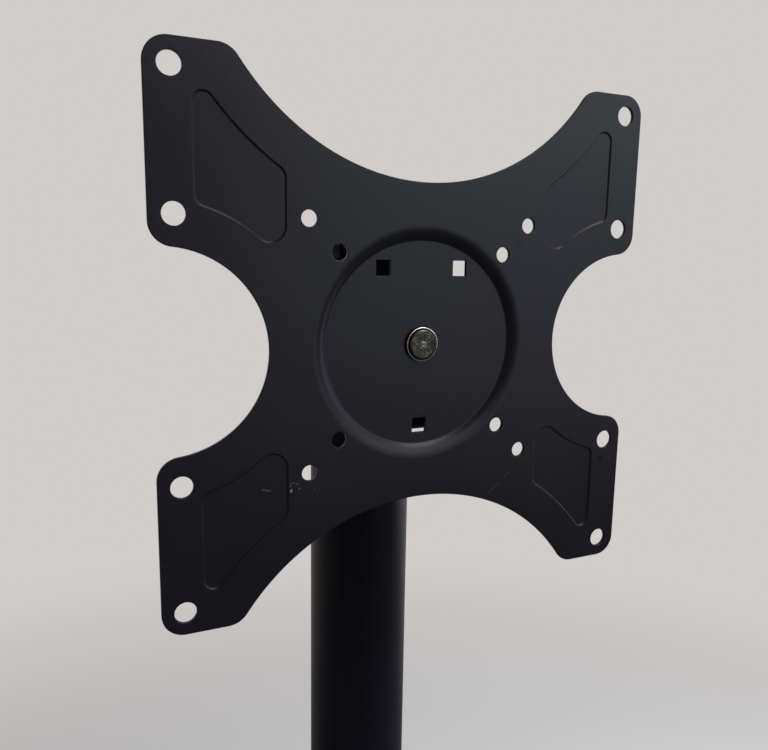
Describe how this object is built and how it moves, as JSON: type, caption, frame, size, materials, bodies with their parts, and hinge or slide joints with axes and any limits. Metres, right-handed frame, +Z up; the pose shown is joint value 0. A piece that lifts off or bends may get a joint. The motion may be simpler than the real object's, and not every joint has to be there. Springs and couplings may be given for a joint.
{
  "type": "tv stand with mount",
  "caption": "Floor stand for a flat television: heavy base, telescopic round column with a clamp knob, and a swivelling, tilting, turning four-armed interface plate.",
  "frame": {"origin": "on the floor, on the axis of the column, at the centre of the base", "axes": "+Z up along the column; the plate's front faces -Y; +X is to the right for someone who faces the plate"},
  "size_m": [0.52, 0.42, 1.311],
  "materials": {
    "black_powder_coat": "satin black powder coat with a fine texture",
    "plate_powder_coat": "satin black powder coat, lightly scuffed",
    "black_plastic": "moulded, fine grain",
    "black_rubber": "matte rubber",
    "white_nylon": "natural nylon",
    "zinc_steel": "bright zinc plate",
    "yellow_zinc": "yellow zinc plate",
    "aged_bronze_steel": "turned, darkened and mottled",
    "black_oxide_steel": "black oxide",
    "grey_plastic": "moulded disc"
  },
  "bodies": {
    "base": {"base_plate": "black_powder_coat", "base_feet": "black_rubber", "foot_screws": "zinc_steel", "lower_column": "black_powder_coat", "flange_screws": "zinc_steel", "flange_cover": "black_plastic", "column_bush": "black_plastic", "clamp_collar": "black_powder_coat", "collar_screws": "black_oxide_steel"},
    "clamp_knob": {"height_knob": "black_plastic", "height_knob_cap": "grey_plastic", "height_screw": "zinc_steel"},
    "mast": {"upper_tube": "black_powder_coat", "mast_guide": "black_plastic", "guide_rivets": "zinc_steel", "top_cap": "black_plastic", "thrust_ring": "black_powder_coat", "thrust_ring_screw": "black_oxide_steel", "slip_ring": "white_nylon"},
    "swivel_head": {"head_sleeve": "black_powder_coat", "sleeve_liner": "white_nylon", "tilt_screws": "zinc_steel", "tilt_nuts": "zinc_steel", "tilt_friction_washers": "white_nylon", "tilt_washers": "zinc_steel", "guide_bolt": "black_oxide_steel", "guide_nut": "black_oxide_steel", "guide_spacer": "black_oxide_steel", "guide_washers": "black_oxide_steel"},
    "tilt_head": {"tilt_bracket": "black_powder_coat", "pivot_hub": "black_powder_coat", "pivot_bolt": "aged_bronze_steel", "pivot_washer": "yellow_zinc", "front_slip_washer": "white_nylon", "rear_slip_washer": "white_nylon", "spring_washers": "zinc_steel", "pivot_nut": "zinc_steel"},
    "plate": {"vesa_plate": "plate_powder_coat"}
  },
  "joints": [
    {"name": "knob_turn", "type": "hinge", "parent": "base", "child": "clamp_knob", "pos_m": [0, 0.05, 0.719], "axis": [0, 1, 0], "range_deg": [0, 360]},
    {"name": "height_slide", "type": "slide", "parent": "base", "child": "mast", "axis": [0, 0, 1], "range_m": [-0.3, 0.25]},
    {"name": "head_swivel", "type": "hinge", "parent": "mast", "child": "swivel_head", "pos_m": [0, 0, 1.202], "axis": [0, 0, 1], "continuous": true},
    {"name": "head_tilt", "type": "hinge", "parent": "swivel_head", "child": "tilt_head", "pos_m": [0, -0.036, 1.202], "axis": [1, 0, 0], "range_deg": [-5, 15]},
    {"name": "plate_turn", "type": "hinge", "parent": "tilt_head", "child": "plate", "pos_m": [0, -0.068, 1.202], "axis": [0, -1, 0], "continuous": true}
  ]
}
